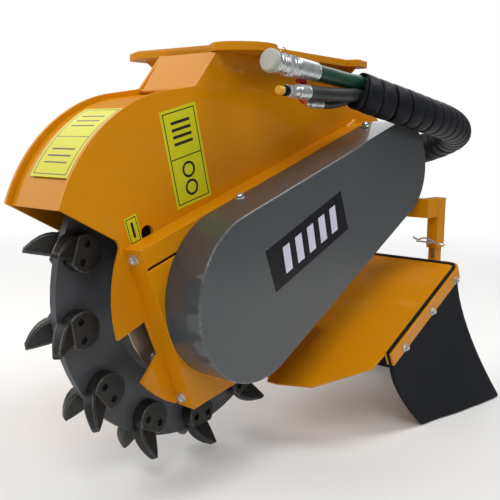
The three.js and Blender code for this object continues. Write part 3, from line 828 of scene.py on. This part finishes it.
def makeStations():
    pocketName, clawName = "toothPocket", "cuttingTooth"
    pocket = finishPiece("toothPocket01", pocketMesh(), [forged], "rotor", ["tooth_pocket_01"],
                         34)
    tooth = finishPiece("cuttingTooth01", clawMesh(), [forged], "rotor", ["cutting_tooth_01"],
                        40)
    for number in range(stations["count"]):
        label = f"{number + 1:02d}"
        for first, name, node in ((pocket, pocketName, "tooth_pocket_"),
                                  (tooth, clawName, "cutting_tooth_")):
            piece = first
            if number:
                piece = bpy.data.objects.new(name + label, first.data)
                scene.collection.objects.link(piece)
                piece.modifiers.new("even", "WEIGHTED_NORMAL").keep_sharp = True
            piece.matrix_world = stationMatrix(number)
            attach(piece, "rotor")
            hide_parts(node + label)


makeStations()
print("cutter stations made")


# chip deck and skirt

deck = dict(top=(563, -20.7), tilt=25.6, nearY=-228, farY=108, nearEnd=-301, lip=28, round=10)
skirt = dict(thick=5.8, bend=13.3, footZ=-316, footBend=22, footCentre=(664, -276),
             footTurn=(262, 356), ripple=2.4, wave=(0.55, 0.8), soft=0.001,
             nearStops=[(-301, (404, -249, 0)), (-205, (500, -271, 0)), (-100, (600, -293, 0))],
             rearStops=[(-110, (692, -110, 0)), (108, (690, 108, 0))],
             nearColumns=19, cornerColumns=8, rearColumns=20, rows=12)


def onDeck(u, y, w):
    tilt = radians(deck["tilt"])
    return Vector((deck["top"][0] + u * cos(tilt) - w * sin(tilt), y,
                   deck["top"][1] + u * sin(tilt) + w * cos(tilt)))


def between(value, stops):
    for (a, first), (b, last) in zip(stops, stops[1:]):
        if value <= b:
            share = (value - a) / (b - a)
            return Vector(first).lerp(Vector(last), share)
    return Vector(stops[-1][1])


def skirtColumns():
    # top and foot points around the near and rear sides, following the sheet's round corner
    cornerU, cornerY = -deck["round"], deck["nearY"] + deck["round"]
    bend, (footX, footY) = skirt["bend"], skirt["footCentre"]
    first, last = skirt["footTurn"]

    def footArc(turn):
        return Vector((footX + skirt["footBend"] * cos(radians(turn)),
                       footY + skirt["footBend"] * sin(radians(turn)), 0))

    nearStops = [*skirt["nearStops"], (cornerU, footArc(first))]
    rearStops = [(cornerY, footArc(last)), *skirt["rearStops"]]
    columns = []
    for i in range(skirt["nearColumns"]):
        u = deck["nearEnd"] + (cornerU - deck["nearEnd"]) * i / skirt["nearColumns"]
        columns.append(((u, cornerY - bend), between(u, nearStops)))
    for i in range(skirt["cornerColumns"] + 1):
        share = i / skirt["cornerColumns"]
        turn = radians(270 + 90 * share)
        columns.append(((cornerU + bend * cos(turn), cornerY + bend * sin(turn)),
                        footArc(first + (last - first) * share)))
    for i in range(1, skirt["rearColumns"] + 1):
        y = cornerY + (deck["farY"] - cornerY) * i / skirt["rearColumns"]
        columns.append(((cornerU + bend, y), between(y, rearStops)))
    return columns


def makeSkirt():
    bm = bmesh.new()
    rows = []
    columns = skirtColumns()
    midCorner = skirt["nearColumns"] + skirt["cornerColumns"] // 2
    rate, start = skirt["wave"]
    for number, ((u, y), foot) in enumerate(columns):
        head, held = onDeck(u, y, 2), onDeck(u, y, -deck["lip"] - 2)
        column = [head, head.lerp(held, 0.5), held]
        wave = sin(number * rate + start)
        calm = min(1, number / 4, (len(columns) - 1 - number) / 4)
        away = Vector((1, 0, 0)) if number > midCorner else Vector((0, -1, 0))
        for k in range(1, skirt["rows"] + 1):
            t = k / skirt["rows"]
            spread = t ** 1.5
            point = Vector((held.x + (foot.x - held.x) * spread,
                            held.y + (foot.y - held.y) * spread,
                            held.z + (skirt["footZ"] - held.z) * t))
            column.append(point - away * skirt["ripple"] * t ** 2 * calm * (1 + wave * 0.6))
        rows.append([bm.verts.new(at(*point)) for point in column])
    for near, far in zip(rows, rows[1:]):
        for k in range(len(near) - 1):
            bm.faces.new([near[k], near[k + 1], far[k + 1], far[k]])
    bmesh.ops.recalc_face_normals(bm, faces=bm.faces)
    piece = finishPiece("rubberSkirt", bm, [skirtRubber], "deck", ["rubber_skirt"],
                        45, False)
    thicken(piece, skirt["thick"], 0)
    rim = piece.modifiers.new("rim", "BEVEL")
    rim.width = skirt["soft"]
    rim.segments = 2


makeSkirt()


def addPlate(bm, corners, thick):
    # a flat plate from its outline's corners, thickened along its normal
    rim = [bm.verts.new(point) for point in corners]
    face = bm.faces.new(rim)
    bm.normal_update()
    grown = bmesh.ops.extrude_face_region(bm, geom=[face])["geom"]
    moved = [v for v in grown if isinstance(v, bmesh.types.BMVert)]
    bmesh.ops.translate(bm, vec=-face.normal * thick / 1000, verts=moved)
    bmesh.ops.recalc_face_normals(bm, faces=bm.faces)


rib = dict(y=-50.2, thick=3, soft=0.0006,
           outline=((-438, 0.2), (-270, 0.2), (-270, 16), (-424, 16), (-438, 9)))


def makeDeckRib():
    # the upturned edge that keeps chips off the disc
    bm = bmesh.new()
    addPlate(bm, [at(*onDeck(u, rib["y"], w)) for u, w in rib["outline"]], rib["thick"])
    softenEdges(bm, rib["soft"])
    finishPiece("deckRib", bm, [orange], "deck")


makeDeckRib()

towardsNear, towardsFar = (0, -1, 0), (0, 1, 0)
towardsRear = Vector((cos(radians(deck["tilt"])), 0, sin(radians(deck["tilt"]))))
strip = dict(out=11.6, nearBolts=(-26, -137, -254), nearDrop=20, rearBolts=(-112, -16, 80),
             rearDrop=15)                # out is the clamp strip's face from the deck's edge
boltGroup("clampStripBolts", "deck", [
    *((at(*onDeck(u, deck["nearY"] - strip["out"], -strip["nearDrop"])), towardsNear)
      for u in strip["nearBolts"]),
    *((at(*onDeck(strip["out"], y, -strip["rearDrop"])), towardsRear)
      for y in strip["rearBolts"]),
], 0.95)
print("skirt made")


# pin clip

clip = dict(place=(566, -168, 21), wire=1.75,
            bends=[(0, 30, 0), (0, 12, 0), (0, -12, 0), (0, -30, -1), (-5, -37, -2),
                   (-11, -31, 0), (-11, -18, 3), (-11, -4, 8.5), (-11, 8, 9.5), (-11, 20, 5.5),
                   (-11, 33, 9)])
routeCurve("pinClip", [at(*(Vector(clip["place"]) + Vector(bend))) for bend in clip["bends"]],
           clip["wire"], zinc, "clip", "pin_clip")


# bolts, stop, welds and wire

frontAlong = Vector((-0.925, 0, -0.379))
bandTurn = radians(17.98)
bandAlong = Vector((-sin(bandTurn), 0, cos(bandTurn)))
boltGroup("housingBolts", "root", [
    (at(-178.4, -75, 61.5), frontAlong), (at(-83, -75, -171), frontAlong)])
boltGroup("coverBolts", "root", [
    (at(21, -104, 141.6), bandAlong), (at(394, -104, 262.6), bandAlong)])

boltRings = dict(
    hubBolts=dict(body="rotor", radius=148, count=10, start=0.2, y=-34, along=towardsNear,
                  scale=1.15),
    clampRingBolts=dict(body="rotor", radius=86, count=8, start=0, y=24, along=towardsFar,
                        scale=1.15),
    bearingBolts=dict(body="root", radius=64, count=4, start=pi / 4, y=85, along=towardsFar,
                      scale=1),
)
for name, ring in boltRings.items():
    turns = [ring["start"] + 2 * pi * i / ring["count"] for i in range(ring["count"])]
    boltGroup(name, ring["body"], [
        (at(ring["radius"] * cos(turn), ring["y"], ring["radius"] * sin(turn)), ring["along"])
        for turn in turns], ring["scale"])

lug = dict(foot=(383, -66, 258), along=(0.91, 0, 0.415),
           profile=[(0, 0), (0, 4), (1.5, 5.6), (34, 5.6), (36, 4), (36, 0)])


def makeLug():
    # small stop welded to the near plate beside the cover's rear bolt
    bm = bmesh.new()
    addTurned(bm, at(*lug["foot"]), lug["along"], lug["profile"], 20)
    finishPiece("plateStop", bm, [orange], "root")


makeLug()

welds = dict(spacing=3.2, waist=0.86, crest=0.45, sides=10, beads=[
    dict(start=(-33.6, -53.5, 311.4), end=(-33.6, 66.4, 311.4), radius=4.2),
    dict(start=(546, -60.6, 75.6), end=(546, -60.6, 115.4), radius=2.2)])


def addBead(bm, start, end, radius):
    # a run of overlapping weld ripples
    along = end - start
    run = along.length * 1000
    count = int(run / welds["spacing"])
    profile = [(0, 0)]
    for i in range(count + 1):
        height = i * run / count
        profile += [(height, radius * welds["waist"]),
                    (height + welds["spacing"] * welds["crest"], radius)]
    profile[-1] = (run, 0)
    addTurned(bm, start, along, profile, welds["sides"])


def makeWelds():
    bm = bmesh.new()
    for bead in welds["beads"]:
        addBead(bm, at(*bead["start"]), at(*bead["end"]), bead["radius"])
    finishPiece("weldBeads", bm, [orange], "root", smooth=60)


makeWelds()

# a thin wire from the coupler to the carrier plate's edge
capWire = dict(wire=0.8, bends=[(64, -146, 372), (74, -145, 379), (92, -136, 378),
                                (120, -118, 374), (158, -99, 371)])
routeCurve("capWire", [at(*bend) for bend in capWire["bends"]], capWire["wire"], zinc, "root")
print("fasteners made")


# decals

def decalFinish(name, paper, ink, marks, grime=(0.35, 0.33, 0.2)):
    # marks turns the sheet's own u and v, from 0 to 1, into a mask for the ink
    decal = Finish(name, {"Specular IOR Level": 0.15, "Coat Weight": 0.15,
                          "Coat Roughness": 0.08})
    place = decal.node("ShaderNodeUVMap", {"uv_map": "sheet"})
    u = decal.node("ShaderNodeSeparateXYZ", None, {0: place}, 0)
    v = decal.node("ShaderNodeSeparateXYZ", None, {0: place}, 1)
    mask = marks(u, v)
    cloud = decal.noise(0.03, 5, 0.7)
    colour = decal.mix(mask, decal.mix(cloud, *paper), ink)
    decal.place("Base Color", decal.mix(0.25 * decal.fade(cloud, 0.55, 0.75), colour, grime))
    decal.place("Roughness", 0.3 + 0.2 * cloud)
    return decal.material


def box(u, v, left, right, low, high):   # 1 inside a rectangle
    return (u > left) * (u < right) * (v > low) * (v < high)


def frameLine(u, v, left, right, low, high, du, dv):
    outer = box(u, v, left, right, low, high)
    return outer - box(u, v, left + du, right - du, low + dv, high - dv)


def twoPanelMarks(u, v):
    # a border, a dividing line, a row of bars above and two rings below
    border = frameLine(u, v, 0.06, 0.94, 0.03, 0.97, 0.025, 0.012)
    divider = box(u, v, 0.06, 0.94, 0.494, 0.506)
    lines = v * 14
    bars = box(u, v, 0.24, 0.76, 0.6, 0.88) * (abs(lines - lines.rounded()) < 0.22)
    rings = []
    for x, y in ((0.5, 0.36), (0.5, 0.17)):
        du, dv = (u - x) * 1.0, (v - y) * 2.1
        rings.append(abs((du * du + dv * dv).squareRoot() - 0.15) < 0.028)
    total = border + divider + bars + rings[0] + rings[1]
    return total.maths("MINIMUM", total, 1.0)


def onePanelMarks(u, v):
    border = frameLine(u, v, 0.09, 0.91, 0.06, 0.94, 0.06, 0.035)
    bar = box(u, v, 0.4, 0.6, 0.22, 0.78)
    return border + bar


def paleMarks(u, v):
    border = frameLine(u, v, 0.06, 0.94, 0.03, 0.97, 0.02, 0.01)
    divider = box(u, v, 0.06, 0.94, 0.495, 0.505)
    lines = v * 12
    panels = box(u, v, 0.2, 0.8, 0.62, 0.86) + box(u, v, 0.2, 0.8, 0.16, 0.4)
    return border + divider + panels * (abs(lines - lines.rounded()) < 0.13)


def plateMarks(u, v):
    # five plain slanted bars
    slanted = u * 6.4 - 0.2 - v * 0.28
    inside = (slanted > 0.5) * (slanted < 5.5) * (v > 0.2) * (v < 0.8)
    return inside * (abs(slanted - slanted.rounded()) < 0.27)


yellowDecal = decalFinish("yellowDecal", ((0.54, 0.52, 0.008), (0.62, 0.6, 0.015)),
                          (0.02, 0.02, 0.012), twoPanelMarks)
smallDecal = decalFinish("smallDecal", ((0.54, 0.52, 0.008), (0.62, 0.6, 0.015)),
                         (0.02, 0.02, 0.012), onePanelMarks)
hoodDecal = decalFinish("hoodDecal", ((0.6, 0.58, 0.02), (0.66, 0.64, 0.035)),
                        (0.11, 0.09, 0.05), paleMarks)
plateDecal = decalFinish("plateDecal", ((0.003, 0.003, 0.006), (0.006, 0.006, 0.009)),
                         (0.62, 0.62, 0.76), plateMarks, (0.02, 0.02, 0.03))

decalFaces = (0.05, 0.35)                # its back and front above the sheet, in millimetres


def makeDecal(name, lay, finish, columns=1, rows=1):
    # lay turns u and v into a point and the surface's outward direction
    bm = bmesh.new()
    sheet = bm.loops.layers.uv.new("sheet")
    layers = []
    for height in decalFaces:
        grid = []
        for j in range(rows + 1):
            line = []
            for i in range(columns + 1):
                point, outwards = lay(i / columns, j / rows)
                line.append(bm.verts.new(at(*(point + outwards * height))))
            grid.append(line)
        layers.append(grid)
    spots = {vert: (i / columns, j / rows) for grid in layers
             for j, line in enumerate(grid) for i, vert in enumerate(line)}
    low, high = layers
    for j in range(rows):
        for i in range(columns):
            bm.faces.new([high[j][i], high[j][i + 1], high[j + 1][i + 1], high[j + 1][i]])
            bm.faces.new([low[j][i], low[j + 1][i], low[j + 1][i + 1], low[j][i + 1]])
    for i in range(columns):
        bm.faces.new([low[0][i], low[0][i + 1], high[0][i + 1], high[0][i]])
        bm.faces.new([low[rows][i + 1], low[rows][i], high[rows][i], high[rows][i + 1]])
    for j in range(rows):
        bm.faces.new([low[j + 1][0], low[j][0], high[j][0], high[j + 1][0]])
        bm.faces.new([low[j][columns], low[j + 1][columns], high[j + 1][columns],
                      high[j][columns]])
    for face in bm.faces:
        for loop in face.loops:
            loop[sheet].uv = spots[loop.vert]
    bmesh.ops.recalc_face_normals(bm, faces=bm.faces)
    return finishPiece(name, bm, [finish], "root", smooth=30)


def flatLay(label):
    turn = radians(label["turn"])
    across, upwards = Vector((cos(turn), 0, sin(turn))), Vector((-sin(turn), 0, cos(turn)))
    x, z = label["corner"]

    def lay(u, v):
        point = Vector((x, label["y"], z)) + across * label["width"] * u
        return point + upwards * label["height"] * v, Vector(towardsNear)
    return lay


labels = dict(
    side=dict(corner=(-76, 125.5), width=79, height=152, turn=14.5, y=-60),
    small=dict(corner=(-171, 78), width=24, height=43, turn=18, y=-60),
    plate=dict(corner=(39, -7), width=224, height=75, turn=22.2, y=cover["near"]),
)
hood = dict(centre=(-59, 61), radius=243, decalNear=-47, decalFar=40, top=117, foot=150.5,
            rows=14)


def hoodLay(u, v):
    angle = radians(hood["foot"] + (hood["top"] - hood["foot"]) * v)
    outwards = Vector((cos(angle), 0, sin(angle)))
    x, z = hood["centre"]
    y = hood["decalFar"] + (hood["decalNear"] - hood["decalFar"]) * u
    return Vector((x, y, z)) + outwards * hood["radius"], outwards


makeDecal("sideDecal", flatLay(labels["side"]), yellowDecal)
makeDecal("smallSideDecal", flatLay(labels["small"]), smallDecal)
makeDecal("hoodFrontDecal", hoodLay, hoodDecal, 1, hood["rows"])
makeDecal("coverPlate", flatLay(labels["plate"]), plateDecal)
print("decals laid")


# floor and light

floorLook = dict(half=8, drop=0.001, grey=0.86, fade=(1.3, 3.4))


def makeFloor():
    low, half, grey = cadBox[0].z - floorLook["drop"], floorLook["half"], floorLook["grey"]
    bm = bmesh.new()
    for x, y in ((-1, -1), (1, -1), (1, 1), (-1, 1)):
        bm.verts.new((half * x, half * y, low))
    bm.faces.new(bm.verts[:])
    mesh = bpy.data.meshes.new("floor")
    bm.to_mesh(mesh)
    bm.free()
    floor = bpy.data.objects.new("floor", mesh)
    scene.collection.objects.link(floor)
    pale = Finish("paleFloor", {"Base Color": (grey, grey, grey, 1), "Roughness": 0.9,
                                "Specular IOR Level": 0.1})
    place = pale.node("ShaderNodeTexCoord", output=3)
    distance = pale.node("ShaderNodeVectorMath", {"operation": "LENGTH"}, {0: place}, 1)
    pale.place("Alpha", 1 - pale.fade(distance, *floorLook["fade"]))
    mesh.materials.append(pale.material)


lamps = dict(
    sky=dict(place=(-1.1, 2.3, 1.9), size=(4.4, 2.8), power=84, colour=(1, 0.98, 0.95)),
    front=dict(place=(-2.1, -1.5, 2.3), size=(1.8, 1.8), power=50, colour=(1, 0.99, 0.96)),
    rear=dict(place=(2.6, 0.9, 1.6), size=(1.6, 1.6), power=16, colour=(0.95, 0.97, 1)),
    top=dict(place=(0.8, -0.9, 2.2), size=(1.2, 1.2), power=34, colour=(1, 0.98, 0.95)),
)
room = dict(backdrop=(1, 1, 1, 1), fill=(0.95, 0.97, 1, 1), strength=0.22)


def makeLamps():
    middle = (cadBox[0] + cadBox[1]) / 2
    for name, look in lamps.items():
        lamp = bpy.data.lights.new(name, "AREA")
        lamp.shape = "RECTANGLE"
        lamp.size, lamp.size_y = look["size"]
        lamp.energy = look["power"]
        lamp.color = look["colour"]
        light = bpy.data.objects.new(name, lamp)
        scene.collection.objects.link(light)
        light.location = middle + Vector(look["place"])
        light.rotation_euler = (middle - light.location).to_track_quat("-Z", "Y").to_euler()
        light.visible_camera = False
    world = bpy.data.worlds.new("studio")
    studio = Shading(world)
    backdrop, output = (studio.tree.nodes[name] for name in ("Background", "World Output"))
    backdrop.inputs[0].default_value = room["backdrop"]
    fill = studio.node("ShaderNodeBackground", None, {0: room["fill"], 1: room["strength"]})
    cameraRay = studio.node("ShaderNodeLightPath")
    mixed = studio.node("ShaderNodeMixShader", None,
                        {0: cameraRay, 1: fill, 2: Wire(studio, backdrop.outputs[0])})
    studio.tree.links.new(mixed.socket, output.inputs[0])
    scene.world = world
    scene.view_settings.view_transform = "Standard"


makeFloor()
makeLamps()
print("floor and light set")
